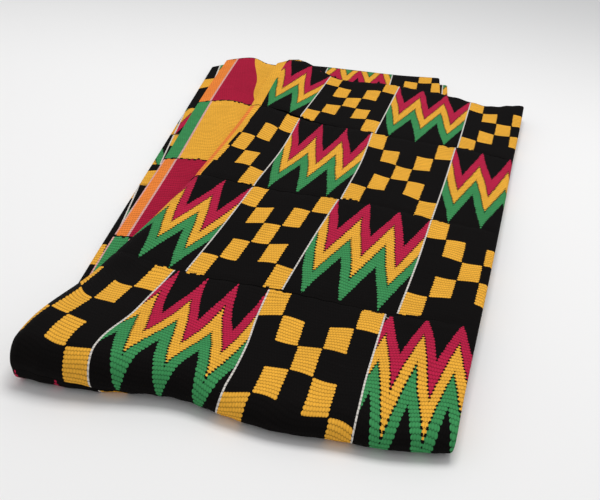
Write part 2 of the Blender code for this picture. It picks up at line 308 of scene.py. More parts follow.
# Ribs across a strip, the length of a bead, and how often chance is drawn along a block
RIBS = 45.0
BEAD_LENGTH = 0.00118
CHANCE_CELLS = 6.0
KIND_SEED = 7.0

# The zigzag: waves to a block, reach of its notches across the strip and depth in a rib, scallops, and chance
ZIGZAGS = 3.0
NOTCH_REACH = 0.024
NOTCH_DEPTH = 0.28
SCALLOP = 0.026
SCALLOP_MIDDLE = 0.6
ZIGZAG_CHANCE = 0.007

# The checks to a block, and how far the ribs and chance cut into their side edges, in blocks
CHECKS = 5.0
CHECK_SCALLOP = 0.011
CHECK_CHANCE = 0.006

# Half the width of a white line, in blocks, and its twisted yarn, whose plies are drawn as painted shade,
# lighter and darker in turn along the line
WHITE_LINE_HALF = 0.0074
TWISTS_PER_RIB = 1.9
TWIST_PAINTED_SHADE = (0.80, 0.25)

# Overcast stitches: reach as a share of the strip's width, spacing, and what makes them uneven
STITCH_REACH = 0.017
STITCH_LENGTH = 0.0017
STITCH_CHANCE = 1.9
STITCH_SHORTER = 0.75
LEAST_STITCH = 0.22
STITCH_SEED = 3.0

# How the second bar of the free ends wanders, and the pale line beside the first one
BAR_WANDER = 0.0016
BAR_WANDER_TURN = 95.0
BAR_LINE = 0.0011

# Dark dots between the ribs, partly the dark warp showing and partly painted shade in the grooves: how
# steeply they deepen, how a bead fills them, and how dark they are
GROOVE_STEEPNESS = 4.0
BEAD_FILLS = 0.80
WARP_DOTS_AND_SHADE_ON_GROUND = 0.20
WARP_DOTS_AND_SHADE_ON_YARN = 0.58

# Brightness of the yarn, with painted shade on its ribs and beads: a shade is a least value and the span
# above it, a noise is a scale and a detail
PLAIN_SHADE = 0.92
# Painted shade: the crowns of the ribs and beads are drawn lighter and the hollows between them darker
RIB_PAINTED_SHADE = 0.10
BEAD_PAINTED_SHADE = 0.22
BEAD_PAINTED_SHADE_MIDDLE = 0.6
LEAST_SHADE = 0.05
CHANCE_SHADE = (0.95, 0.09)
CLOUD_SHADE = (0.88, 0.24)
FUZZ_SHADE = (0.80, 0.40)
CLOUD_NOISE = (34.0, 3.0)
FUZZ_NOISE = (1100.0, 2.0)
FUZZ_STRETCH = 0.6

# Height of the weave for the bump, and how the yarn shines
INLAY_HEIGHT = 0.40
RIB_HEIGHT = 0.20
BEAD_HEIGHT = 0.06
GROUND_RIB_HEIGHT = 0.04
FUZZ_HEIGHT = 0.15
BUMP_STRENGTH = 0.50
BUMP_DISTANCE = 0.0004
GROUND_ROUGHNESS = 0.95
YARN_ROUGHNESS = 0.85
YARN_SPECULAR = 0.06

# Loose threads on the front strip: a white end by a seam and a dark one at the left edge
THREAD_RADIUS = 0.00017
WHITE_THREAD = ((0.1187, -0.0028), (0.1191, -0.0042), (0.1198, -0.0050), (0.1207, -0.0050))
WHITE_THREAD_PATTERN = (3.0, 0.5)
DARK_THREAD_PLACE = -0.056
DARK_THREAD_LENGTH = 0.0030
DARK_THREAD_CURL = 60.0
DARK_THREAD_STEPS = 5
DARK_THREAD_ROOT = -0.1
DARK_THREAD_PATTERN = (1.1, 0.5)
THREAD_MAPS = {"cloth": (0.0, 0.0), "ends": (0.1, 0.1), "strip": (0.5, 0.5)}

# The light: a pale room and one square lamp
ROOM_COLOUR = (0.985, 0.99, 1.0, 1.0)
ROOM_STRENGTH = 0.585
LAMP_PLACE = (0.06, 0.15, 1.05)
LAMP_SIZE = 0.50
LAMP_POWER = 6.0

# The floor, its colour near the cloth and far behind it, where it is darker with painted shade, and where
# along Y the painted shade comes in
FLOOR_HALF = 4.0
FLOOR_ROUGHNESS = 0.9
FLOOR_NEAR = (0.87, 0.865, 0.86)
FLOOR_FAR_PAINTED_SHADE = (0.61, 0.61, 0.61)
FLOOR_PAINTED_SHADE_SPAN = (0.10, 0.62)

# The photograph's camera, measured from the second seam at the height of the flat top
TOP_HEIGHT = 0.0123
CAMERA_TARGET = (0.0670, 0.0399, 0.0)
CAMERA_DISTANCE = 0.4256
CAMERA_AZIMUTH = 0.2437
CAMERA_ELEVATION = 0.5449
CAMERA_ROLL = 0.0656
FOCAL_PIXELS = 848.3
PHOTO_WIDTH = 600.0
SENSOR_WIDTH = 36.0
CLIP_START = 0.01


def column(rows, columns, name):
    """One named column of a table."""
    return np.array([row[columns.index(name)] for row in rows])


def smooth_step(value):
    """Rise from 0 to 1 with level ends as value goes from 0 to 1."""
    share = np.clip(value, 0.0, 1.0)
    return share * share * (3.0 - 2.0 * share)


def read_table(where, rows, columns, name):
    """Read a column smoothly: between two rows the value follows a cubic with the rows' mean slopes."""
    places = column(rows, columns, columns[0])
    values = column(rows, columns, name)
    slopes = np.gradient(values, places)
    low = np.clip(np.searchsorted(places, where) - 1, 0, len(places) - 2)
    step = places[low + 1] - places[low]
    share = np.clip((where - places[low]) / step, 0.0, 1.0)
    turn = smooth_step(share)
    start = share * (1.0 - share) ** 2 * step * slopes[low]
    finish = share ** 2 * (1.0 - share) * step * slopes[low + 1]
    return values[low] * (1.0 - turn) + values[low + 1] * turn + start - finish


def layer_depth(layer):
    """Distance of a layer's middle from the middle of the whole stack, layer 1 being the outermost."""
    return (LAYERS + 0.5 - layer) * PITCH


def section_steps():
    """The back-and-forth section as steps: the row of each point's stretch, and its share of that stretch."""
    stretches = [0]
    shares = [0.0]
    for number, (_, _, steps, _, _) in enumerate(STRETCH_ROWS):
        for step in range(1, steps + 1):
            stretches.append(number)
            shares.append(step / steps)
    return np.array(stretches), np.array(shares)


def layer_edges(flat_y):
    """Where the layers end and turn along the band, and where the outer layer starts to be carried."""
    edges = {name: read_table(flat_y, LAYER_ROWS, LAYER_COLUMNS, name) for name in LAYER_COLUMNS[1:]}
    for name, side in (("right_fold", -1.0), ("left_fold", 1.0), ("inner_right_fold", -1.0)):
        edges[name] = edges[name] + side * FOLD_REACH
    carried = edges["left_fold"] - FOLD_REACH - SUPPORT_BEYOND_FOLD
    edges["support"] = np.maximum(carried, edges["outer_end"] + LEAST_OVERHANG)
    return edges


def section(flat_y, stretches, shares):
    """Points of the back-and-forth section: flat layers joined by half ellipses at the side folds.

    Returns the place along X, the depth from the stack's middle, an even depth that says how far the cloth
    has slipped round the front fold, and the length of cloth along the strip.
    """
    edges = layer_edges(flat_y)
    place = np.zeros_like(flat_y)
    depth = np.zeros_like(flat_y)
    even = np.zeros_like(flat_y)
    along = np.zeros_like(flat_y)
    travelled = edges["outer_end"]
    turned = 0.5 * math.pi * PITCH
    for number, (kind, layer, _, start, finish) in enumerate(STRETCH_ROWS):
        here = np.broadcast_to(stretches == number, place.shape)
        rightward = layer % 2 == 1
        if kind == "fold":
            run = edges[start] + (1.0 if rightward else -1.0) * FOLD_REACH * np.sin(math.pi * shares)
            level = layer_depth(layer + 0.5) + 0.5 * PITCH * np.cos(math.pi * shares)
            slipped = layer_depth(layer + 0.5)
            length = turned
        else:
            run = edges[start] * (1.0 - shares) + edges[finish] * shares
            level = layer_depth(layer)
            first = layer_depth(max(layer - 0.5, 1.0))
            last = layer_depth(min(layer + 0.5, LAYERS))
            slipped = first + (last - first) * (shares if kind == "flat" else 0.0)
            length = np.abs(edges[finish] - edges[start])
        place = np.where(here, run, place)
        depth = np.where(here, level, depth)
        even = np.where(here, slipped, even)
        along = np.where(here, travelled + length * shares, along)
        travelled = travelled + length
    return place, depth, even, along


def quarter_length(forward, height):
    """Length of a quarter of an ellipse, by Ramanujan's rule."""
    total = 3.0 * (forward + height) - np.sqrt((3.0 * forward + height) * (forward + 3.0 * height))
    return 0.25 * math.pi * total


def wrap_front(place, flat_y, depth, even):
    """Carry points of the flat band round the front fold.

    The fold is a half ellipse about a centre line askew to the strips. Each layer keeps its length round
    it, so the inner layers reach further back, by an amount that follows the even depth behind the fold.
    Returns x, y, z and how much a point belongs to the upper half, from 1 on top to 0 underneath.
    """
    cosine = math.cos(FOLD_ANGLE)
    sine = math.sin(FOLD_ANGLE)
    along = (place - FOLD_X) * cosine + (flat_y - FOLD_Y) * sine
    behind = (flat_y - FOLD_Y) * cosine - (place - FOLD_X) * sine
    thick = read_table(place, HUMP_ROWS, HUMP_COLUMNS, "thickness")
    ratio = depth / OUTER_DEPTH
    outer_quarter = quarter_length(FOLD_FORWARD, thick * OUTER_DEPTH)
    quarter = outer_quarter * ratio
    from_tip = behind + outer_quarter
    turn = 0.5 * math.pi * np.clip(1.0 - from_tip / quarter, 0.0, 2.0)
    straight = np.abs(from_tip) - quarter
    slipped = (depth - even) / OUTER_DEPTH * outer_quarter * smooth_step(straight / SLIP_LENGTH)
    across = np.where(straight > 0.0, straight + slipped, -FOLD_FORWARD * ratio * np.sin(turn))
    local = 1.0 + (thick - 1.0) * smooth_step(1.0 - across / HUMP_LENGTH)
    middle = local * OUTER_DEPTH + 0.5 * SHEET
    x = FOLD_X + along * cosine - across * sine
    y = FOLD_Y + along * sine + across * cosine
    z = middle + local * depth * np.cos(turn)
    return x, y, z, 0.5 + 0.5 * np.cos(turn)


def swelling(x, y):
    """Sum of round soft swellings, each a Gaussian."""
    total = np.zeros_like(x)
    for centre_x, centre_y, wide_x, wide_y, height in SWELL_ROWS:
        total = total + height * np.exp(-((x - centre_x) / wide_x) ** 2 - ((y - centre_y) / wide_y) ** 2)
    return total


def sinking(x, y):
    """How far the upper half sinks past the lower half's right edge, which leans by twice the fold."""
    edge = LAYER_ROWS[0][LAYER_COLUMNS.index("right_fold")] - (y - FOLD_Y) * math.tan(2.0 * FOLD_ANGLE)
    clear = smooth_step((y - FOLD_Y) / SAG_GROWS_OVER)
    return SAG_DEPTH * clear * smooth_step((x - edge - SAG_MARGIN) / SAG_WIDTH)


def drooping(place, flat_y, stretches):
    """How far the outer layer's free end hangs down beyond the left fold under it, growing as a square."""
    edges = layer_edges(flat_y)
    share = np.clip((edges["support"] - place) / (edges["support"] - edges["outer_end"]), 0.0, 1.0)
    start, finish = DROOP_CHANGES_AT
    flatter = smooth_step((flat_y - start) / (finish - start))
    depth = DROOP_FRONT + (DROOP_BACK - DROOP_FRONT) * flatter
    return np.where(stretches <= OUTER_STRETCHES, depth * share ** 2, 0.0)


def cloth_middle(flat_y, stretches, shares):
    """Middle of the folded cloth for places on the flat band, as an array of points."""
    place, depth, even, _ = section(flat_y, stretches, shares)
    x, y, z, upper = wrap_front(place, flat_y, depth, even)
    forward = read_table(place, NOSE_ROWS, NOSE_COLUMNS, "forward")
    y = y - forward * smooth_step(1.0 - (y - FOLD_Y) / NOSE_LENGTH)
    far = read_table(place, FAR_ROWS, FAR_COLUMNS, "upper")
    y = y + upper * far * np.clip(flat_y / STRIP_EDGES[0], 0.0, 1.0) ** 3
    far = read_table(place, FAR_ROWS, FAR_COLUMNS, "lower")
    y = y + (1.0 - upper) * far * np.clip(flat_y / STRIP_EDGES[-1], 0.0, 1.0) ** 3
    z = z + upper * (swelling(x, y) - sinking(x, y) - drooping(place, flat_y, stretches))
    return np.stack([x, y, z], axis=-1) - np.array(CLOTH_CENTRE)


def cloth_normal(flat_y, stretches, shares):
    """Unit normals of the middle surface, from its slopes across and along the strips."""
    ahead = cloth_middle(flat_y + NORMAL_STEP, stretches, shares)
    back = cloth_middle(flat_y - NORMAL_STEP, stretches, shares)
    points = cloth_middle(flat_y, stretches, shares)
    normal = np.cross(np.gradient(points, axis=1), ahead - back)
    return normal / np.linalg.norm(normal, axis=-1, keepdims=True)


def seam_place(number, place):
    """Flat place of a strip edge along X: three upper seams as measured, and the lower ones slightly wavy."""
    straight = STRIP_EDGES[number]
    if 1 <= number <= 3:
        return 0.001 * read_table(1000.0 * place, SEAM_ROWS, SEAM_COLUMNS, f"seam_{number}")
    if number in (0, 4, STRIP_COUNT):
        return np.full_like(place, straight)
    return straight + LOWER_SEAM_WAVER * np.sin(place / LOWER_SEAM_LENGTH + LOWER_SEAM_TURN * straight)


def line_places(index, across):
    """Places of the white lines that cross an upper strip, for shares across it."""
    rows = [row[1:] for row in LINE_ROWS if row[0] == index + 1]
    columns = LINE_COLUMNS[1:]
    return [0.001 * read_table(across, rows, columns, f"line_{number + 1}") for number in range(LINE_COUNT)]


def count_blocks(index, along, across):
    """Place along a strip counted in woven blocks, so that whole numbers fall on the white lines."""
    if index > FRONT_STRIP:
        return (along - BLOCK_START) / BLOCK_LENGTH
    lines = line_places(index, across)
    blocks = (along - lines[0]) / BLOCK_LENGTH
    for number in range(LINE_COUNT - 1):
        inside = number + (along - lines[number]) / (lines[number + 1] - lines[number])
        blocks = np.where(along > lines[number], inside, blocks)
    beyond = LINE_COUNT - 1 + (along - lines[-1]) / BLOCK_LENGTH
    return np.where(along > lines[-1], beyond, blocks)


def pattern_row(index, place, across):
    """Share across a strip at which its pattern is read.

    The rows bend by a cubic of the share, and waver by a wave that leans across the strip. The front strip's
    lower rows bend by a second cubic, the first one mirrored.
    """
    shift = np.zeros_like(across)
    if index <= FRONT_STRIP:
        bend = read_table(1000.0 * place, BEND_ROWS, BEND_COLUMNS, f"strip_{index + 1}")
        shift = -CUBIC_SCALE * bend * across ** 2 * (1.0 - across)
    if index == FRONT_STRIP:
        drawn = read_table(1000.0 * place, LOW_BEND_ROWS, LOW_BEND_COLUMNS, "drawn")
        shift = shift - CUBIC_SCALE * drawn * across * (1.0 - across) ** 2
    leaning = WAVER_LEAN * (WAVER_LEANS_FROM - across)
    phase = (place - WAVER_STARTS[index] + leaning) / WAVER_LENGTH
    fading = smooth_step(np.minimum(across, 1.0 - across) / WAVER_FADES_WITHIN)
    return across + shift + WAVER_HEIGHT * np.cos(2.0 * math.pi * phase) * fading


def slip_left_fold(index, blocks, row, place, stretches, left_fold):
    """Move the pattern across the lower half's left fold, so that it carries on from strip to strip."""
    slip = LEFT_FOLD_SLIPS[index]
    near_fold = (place < left_fold + LEFT_FOLD_WIDTH) & np.isin(stretches, LEFT_FOLD_STRETCHES)
    passed = near_fold & (row > slip)
    moved = np.where(near_fold, row - slip, row)
    return np.where(passed, blocks + 1.0, blocks), np.where(near_fold & (row <= slip), moved + 1.0, moved)


def strip_rows(index, stretches, shares):
    """Flat places of a strip's rows and their share across it, from its far seam to its near one.

    The rows are even, but in the front strip they follow the front fold where it turns, and in the strip
    after it they start close together.
    """
    count = len(stretches)
    middle = np.full((1, count), 0.5 * (STRIP_EDGES[index] + STRIP_EDGES[index + 1]))
    place = section(middle, stretches, shares)[0]
    start = seam_place(index, place) - 0.5 * SEAM_GAP
    finish = seam_place(index + 1, place) + 0.5 * SEAM_GAP
    if index != FRONT_STRIP:
        crowding = UNDER_NOSE_CROWDING if index == FRONT_STRIP + 1 else 1.0
        across = 1.0 - np.linspace(0.0, 1.0, ROW_COUNT)[:, None] ** crowding * np.ones((1, count))
        return finish + (start - finish) * across, across
    thick = read_table(place, HUMP_ROWS, HUMP_COLUMNS, "thickness")
    quarter = quarter_length(FOLD_FORWARD, thick * OUTER_DEPTH)
    tip = FOLD_Y + (place - FOLD_X) * math.tan(FOLD_ANGLE) - quarter
    over = tip + NOSE_ABOVE
    under = np.maximum(tip - NOSE_BELOW, finish + LEAST_UNDER_NOSE)
    behind = start + (over - start) * np.linspace(0.0, 1.0, ROWS_BEHIND_NOSE)[:, None]
    around = over + (under - over) * np.linspace(0.0, 1.0, ROWS_ROUND_NOSE)[1:, None]
    below = under + (finish - under) * np.linspace(0.0, 1.0, ROWS_UNDER_NOSE)[1:, None]
    rows = np.concatenate([behind, around, below], axis=0)
    return rows, (rows - finish) / (start - finish)


def relief(place, across, stretches, index):
    """How far the outer layer rises or sinks: a trough at each seam, puckers beside it and soft ripples."""
    from_seam = np.minimum(across, 1.0 - across) * STRIP_WIDTH
    trough = -SEAM_TROUGH * np.exp(-(from_seam / SEAM_TROUGH_WIDTH) ** 2)
    side = np.where(across > 0.5, index, index + 1)
    wander = PUCKER_WANDER * np.sin(place / PUCKER_WANDER_LENGTH + PUCKER_WANDER_STEP * side)
    turn = 2.0 * math.pi * place / PUCKER_LENGTH + wander + PUCKER_STEP * side
    pucker = PUCKER_HEIGHT * np.sin(turn) * np.exp(-from_seam / PUCKER_REACH)
    flat = across + RIPPLE_STEP * index
    short = np.sin(place / SHORT_RIPPLE + SHORT_RIPPLE_TURN * flat)
    ripple = short * np.sin(LONG_RIPPLE_TURN * flat + LONG_RIPPLE_START + place / LONG_RIPPLE)
    total = trough + pucker + RIPPLE_HEIGHT * (0.5 + 0.5 * ripple)
    return np.where(stretches <= OUTER_STRETCHES, total, 0.0)


def strip_shell(index):
    """A strip as two grids of points, with the lengths that its woven pattern is measured by.

    The sheet's middle follows the folded cloth, moved along its normal by the small relief, and its two
    sides lie half the sheet's thickness from that.
    """
    stretches, shares = section_steps()
    flat_y, across = strip_rows(index, stretches, shares)
    middle = cloth_middle(flat_y, stretches, shares)
    normal = cloth_normal(flat_y, stretches, shares)
    place, _, _, along = section(flat_y, stretches, shares)
    edges = layer_edges(flat_y)
    fading = smooth_step((edges["right_fold"] - place) / RELIEF_FADES_OVER)
    raised = relief(place, across, stretches, index) * fading
    middle = middle + raised[..., None] * normal
    stray = INNER_STRAYS[index] * smooth_step((along - edges["right_fold"]) / INNER_STRAY_LENGTH)
    blocks = count_blocks(index, along, across) + stray
    row = pattern_row(index, place, across)
    if index in LEFT_FOLD_SLIPS:
        blocks, row = slip_left_fold(index, blocks, row, place, stretches, edges["left_fold"])
    if index == STRIP_COUNT - 1:
        row = row + LAST_STRIP_CUT
    maps = {
        "pattern": (blocks, row),
        "cloth": (along, flat_y),
        "ends": (along - edges["outer_end"], along.max(axis=1, keepdims=True) - along),
        "strip": (across, across),
    }
    return middle + 0.5 * SHEET * normal, middle - 0.5 * SHEET * normal, maps


def above_top(places, flat_y, height):
    """Points at a height over the outer layer."""
    edges = layer_edges(flat_y)
    shares = (places - edges["support"]) / (edges["right_fold"] - edges["support"])
    points = cloth_middle(flat_y[None, :], np.ones(len(places)), shares[None, :])[0]
    return points + np.array([0.0, 0.0, height])


def white_thread():
    """Line of the white thread end, lying on the front strip."""
    places, flat_y = np.array(WHITE_THREAD).T
    return above_top(places, flat_y, 0.5 * SHEET + 2.0 * THREAD_RADIUS)


def dark_thread():
    """Line of the dark thread end, standing out from the outer layer's left edge."""
    flat_y = np.full((1, 2), DARK_THREAD_PLACE)
    edge, inside = cloth_middle(flat_y, np.zeros(2), np.array([[0.0, 0.5]]))[0]
    outward = (edge - inside) / np.linalg.norm(edge - inside)
    steps = np.linspace(DARK_THREAD_ROOT, 1.0, DARK_THREAD_STEPS)[:, None] * DARK_THREAD_LENGTH
    lift = np.array([0.0, 0.0, DARK_THREAD_CURL]) * steps ** 2
    return edge + outward * steps + lift


def thread_tube(points, first):
    """A thin four-sided closed thread along a line, as vertices and quads numbered from a first vertex."""
    tangent = np.gradient(points, axis=0)
    tangent = tangent / np.linalg.norm(tangent, axis=1, keepdims=True)
    side = np.cross(tangent, (0.0, 0.0, 1.0))
    side = side / np.linalg.norm(side, axis=1, keepdims=True)
    up = np.cross(side, tangent)
    vertices = points[:, None, :] + THREAD_RADIUS * np.stack([side, up, -side, -up], axis=1)
    ring = 4 * np.arange(len(points) - 1)[:, None] + np.arange(4)[None, :]
    turned = 4 * np.arange(len(points) - 1)[:, None] + (np.arange(4)[None, :] + 1) % 4
    walls = np.stack([ring, ring + 4, turned + 4, turned], axis=2).reshape(-1, 4)
    last = 4 * (len(points) - 1)
    caps = np.array([[0, 1, 2, 3], [last + 3, last + 2, last + 1, last]])
    return vertices.reshape(-1, 3), np.concatenate([walls, caps]) + first


def grid_quads(rows, columns, offset, outward):
    """Quads between neighbouring rows and columns, as an array of vertex numbers."""
    corner = (np.arange(rows - 1)[:, None] * columns + np.arange(columns - 1)[None, :]).ravel() + offset
    quads = np.stack([corner, corner + columns, corner + columns + 1, corner + 1], axis=1)
    return quads if outward else quads[:, ::-1]


def rim_quads(rows, columns):
    """Quads that join the rims of two grids."""
    far = np.arange(columns)
    right = np.arange(1, rows) * columns + columns - 1
    near = (rows - 1) * columns + np.arange(columns - 2, -1, -1)
    left = np.arange(rows - 2, 0, -1) * columns
    ring = np.concatenate([far, right, near, left])
    following = np.roll(ring, -1)
    count = rows * columns
    return np.stack([ring, following, following + count, ring + count], axis=1)


def link_piece(name, vertices, faces, maps):
    """A smooth mesh object with its UV maps, linked to the scene."""
    mesh = bpy.data.meshes.new(name)
    mesh.from_pydata(vertices.tolist(), [], faces.tolist())
    corners = np.zeros(len(mesh.loops), dtype=np.int32)
    mesh.loops.foreach_get("vertex_index", corners)
    for label, (first, second) in maps.items():
        layer = mesh.uv_layers.new(name=label)
        pair = np.stack([first, second], axis=-1).reshape(-1, 2)
        layer.data.foreach_set("uv", pair[corners].astype(np.float32).ravel())
    mesh.polygons.foreach_set("use_smooth", np.ones(len(mesh.polygons), dtype=bool))
    mesh.set_sharp_from_angle(angle=SHARP_ANGLE)
    mesh.update()
    piece = bpy.data.objects.new(name, mesh)
    bpy.context.scene.collection.objects.link(piece)
    return piece


def build_strip(index):
    """One woven strip as a closed sheet, with loose threads on the front strip."""
    upper, lower, maps = strip_shell(index)
    rows, columns = upper.shape[:2]
    count = rows * columns
    vertices = [upper.reshape(-1, 3), lower.reshape(-1, 3)]
    sides = [grid_quads(rows, columns, 0, True), grid_quads(rows, columns, count, False)]
    faces = sides + [rim_quads(rows, columns)]
    doubled = {}
    for label, pair in maps.items():
        flat = [np.broadcast_to(part, (rows, columns)).ravel() for part in pair]
        doubled[label] = [np.concatenate([part, part]) for part in flat]
    if index == FRONT_STRIP:
        made = 2 * count
        for points, pattern in ((white_thread(), WHITE_THREAD_PATTERN), (dark_thread(), DARK_THREAD_PATTERN)):
            tube, quads = thread_tube(points, made)
            vertices.append(tube)
            faces.append(quads)
            made = made + len(tube)
            for label, values in {"pattern": pattern, **THREAD_MAPS}.items():
                parts = zip(doubled[label], values)
                doubled[label] = [np.concatenate([part, np.full(len(tube), value)]) for part, value in parts]
    return link_piece(f"woven_strip_{index + 1}", np.concatenate(vertices), np.concatenate(faces), doubled)


class Graph:
    """A node tree with short calls for its nodes. An input is a socket or a plain value."""

    def __init__(self, tree):
        self.tree = tree

    def node(self, kind, **settings):
        """A new node with the given settings."""
        made = self.tree.nodes.new(kind)
        for name, value in settings.items():
            setattr(made, name, value)
        return made

    def feed(self, socket, value):
        """Link a socket, or set its value."""
        if isinstance(value, bpy.types.NodeSocket):
            self.tree.links.new(value, socket)
        else:
            socket.default_value = value

    def math(self, operation, *inputs):
        """Result of a Math node."""
        made = self.node("ShaderNodeMath", operation=operation)
        for socket, value in zip(made.inputs, inputs):
            self.feed(socket, value)
        return made.outputs[0]

    def uv(self, name):
        """The two numbers of a UV map."""
        made = self.node("ShaderNodeSeparateXYZ")
        self.feed(made.inputs[0], self.node("ShaderNodeUVMap", uv_map=name).outputs[0])
        return made.outputs[0], made.outputs[1]

    def triple(self, first, second, third):
        """Three numbers as one vector."""
        made = self.node("ShaderNodeCombineXYZ")
        for socket, value in zip(made.inputs, (first, second, third)):
            self.feed(socket, value)
        return made.outputs[0]

    def white_noise(self, vector):
        """A fixed chance value from 0 to 1 for each place."""
        made = self.node("ShaderNodeTexWhiteNoise", noise_dimensions="3D")
        self.feed(made.inputs["Vector"], vector)
        return made.outputs["Value"]

    def noise(self, vector, scale, detail):
        """Smooth noise from 0 to 1."""
        made = self.node("ShaderNodeTexNoise")
        self.feed(made.inputs["Vector"], vector)
        self.feed(made.inputs["Scale"], scale)
        self.feed(made.inputs["Detail"], detail)
        return made.outputs["Fac"]

    def mix(self, share, first, second, blend="MIX"):
        """Mix of two colours."""
        made = self.node("ShaderNodeMix", data_type="RGBA", blend_type=blend)
        self.feed(made.inputs[0], share)
        for socket, value in zip((made.inputs[6], made.inputs[7]), (first, second)):
            self.feed(socket, (*value, 1.0) if isinstance(value, tuple) else value)
        return made.outputs[2]

    def shaded(self, colour, shade):
        """A colour times a number."""
        return self.mix(1.0, colour, self.triple(shade, shade, shade), "MULTIPLY")

    def spread(self, span, share):
        """A number that goes from the span's first value up by its second as the share goes from 0 to 1."""
        least, growth = span
        return self.plus(least, self.times(share, growth))

    def blend(self, share, first, second):
        """Mix of two numbers."""
        return self.plus(first, self.times(share, self.minus(second, first)))

    def plus(self, first, second):
        """Sum of two numbers."""
        return self.math("ADD", first, second)

    def minus(self, first, second):
        """First number less the second."""
        return self.math("SUBTRACT", first, second)

    def times(self, first, second):
        """Product of two numbers."""
        return self.math("MULTIPLY", first, second)

    def below(self, value, limit):
        """1 where a value is below a limit, else 0."""
        return self.math("LESS_THAN", value, limit)

    def wave(self, value):
        """A rounded ridge for each whole number that a value passes, from 0 to 1."""
        return self.math("ABSOLUTE", self.math("SINE", self.times(value, math.pi)))


def add_sockets(tree, direction, kind, names):
    """New inputs or outputs of a node group."""
    for name in names:
        tree.interface.new_socket(name, in_out=direction, socket_type="NodeSocket" + kind)


def rib_parts(graph, row, along):
    """Ribs along the strip: number, share to the nearer groove, height, beads, and the dark dotted line in
    the groove, partly the dark warp showing and partly painted shade.
    """
    place = graph.times(row, RIBS)
    number = graph.math("FLOOR", place)
    share = graph.math("FRACT", place)
    edge = graph.math("MINIMUM", share, graph.minus(1.0, share))
    height = graph.times(graph.times(4.0, edge), graph.minus(1.0, edge))
    groove = graph.math("MAXIMUM", graph.minus(1.0, graph.times(edge, GROOVE_STEEPNESS)), 0.0)
    bead = graph.wave(graph.plus(graph.math("DIVIDE", along, BEAD_LENGTH), graph.times(number, 0.5)))
    # Dark dots along each groove between the beads: partly the dark warp showing and partly painted shade
    warp_dots_and_groove_shade = graph.times(groove, graph.minus(1.0, graph.times(bead, BEAD_FILLS)))
    return number, edge, height, bead, warp_dots_and_groove_shade


def zigzag_colour(graph, block, row, rib, chance, first_peak):
    """Colour of a zigzag block: three stepped bands on black, with dark notches between the bands."""
    number, edge, height, _, _ = rib
    stepped = graph.math("DIVIDE", graph.plus(number, 0.5), RIBS)
    moved = graph.plus(block, graph.times(graph.minus(chance, 0.5), ZIGZAG_CHANCE))
    passed = graph.times(graph.minus(moved, first_peak), ZIGZAGS)
    phase = graph.math("DIVIDE", passed, graph.minus(1.0, first_peak))
    rise = graph.math("ABSOLUTE", graph.minus(graph.times(graph.math("FRACT", phase), 2.0), 1.0))
    levels = [graph.plus(dip, graph.times(rise, peak - dip)) for peak, dip in BAND_ROWS]
    depths = [graph.minus(level, stepped) for level in levels]
    scallop = graph.times(graph.minus(height, SCALLOP_MIDDLE), SCALLOP)
    started = graph.math("GREATER_THAN", graph.plus(depths[0], scallop), 0.0)
    ended = graph.math("GREATER_THAN", depths[3], scallop)
    colour = graph.mix(graph.math("GREATER_THAN", depths[1], 0.0), MAGENTA, GOLD)
    colour = graph.mix(graph.math("GREATER_THAN", depths[2], 0.0), colour, GREEN)
    inlaid = graph.times(started, graph.minus(1.0, ended))
    for level in levels[1:3]:
        close = graph.below(graph.math("ABSOLUTE", graph.minus(level, row)), NOTCH_REACH)
        notch = graph.times(close, graph.below(edge, NOTCH_DEPTH))
        inlaid = graph.times(inlaid, graph.minus(1.0, notch))
    return graph.mix(inlaid, BLACK, colour), inlaid


def check_inlay(graph, block, row, height, chance):
    scallop = graph.times(graph.minus(1.0, height), CHECK_SCALLOP)
    cut = graph.plus(scallop, graph.times(chance, CHECK_CHANCE))
    check_row = graph.math("FLOOR", graph.times(row, CHECKS))
    inlaid = 1.0
    for side in (-1.0, 1.0):
        moved = graph.plus(block, graph.times(cut, side))
        step = graph.math("FLOOR", graph.times(moved, CHECKS))
        one = graph.math("COMPARE", step, check_row, 0.1)
        other = graph.math("COMPARE", graph.plus(step, check_row), CHECKS - 1.0, 0.1)
        inlaid = graph.times(inlaid, graph.math("MAXIMUM", one, other))
    return inlaid


def end_bands(graph, colour, inlaid, bar):
    """Plain bars woven across the two free ends. One tapers and one widens across the strip."""
    from_outer, from_inner = graph.uv("ends")
    across, _ = graph.uv("strip")
    _, flat_y = graph.uv("cloth")
    taper = graph.times(bar["outer_taper"], graph.minus(1.0, across))
    wander = graph.times(graph.math("SINE", graph.times(flat_y, BAR_WANDER_TURN)), BAR_WANDER)
    second = graph.plus(graph.plus(bar["second_bar"], wander), graph.times(bar["second_slant"], across))
    bars = (
        (from_outer, graph.minus(bar["outer_bar"], taper), GOLD),
        (from_outer, bar["outer_line"], ORANGE),
        (from_inner, bar["third_bar"], GOLD),
        (from_inner, second, bar["second_yarn"]),
        (from_inner, graph.plus(bar["first_bar"], BAR_LINE), PINK),
        (from_inner, bar["first_bar"], bar["first_yarn"]),
        (from_inner, bar["edge_line"], PINK),
    )
    for distance, limit, yarn in bars:
        here = graph.below(distance, limit)
        colour = graph.mix(here, colour, yarn)
        inlaid = graph.math("MAXIMUM", inlaid, here)
    return colour, inlaid


def seam_stitches(graph, colour, along):
    """Dark overcast stitches of uneven length over the seams at both sides of the strip."""
    across, _ = graph.uv("strip")
    from_seam = graph.math("MINIMUM", across, graph.minus(1.0, across))
    cell = graph.math("FLOOR", graph.math("DIVIDE", along, STITCH_LENGTH))
    side = graph.math("GREATER_THAN", across, 0.5)
    chance = graph.white_noise(graph.triple(cell, side, STITCH_SEED))
    length = graph.minus(graph.times(chance, STITCH_CHANCE), STITCH_SHORTER)
    length = graph.math("MAXIMUM", length, LEAST_STITCH)
    return graph.mix(graph.below(from_seam, graph.times(length, STITCH_REACH)), colour, BLACK)


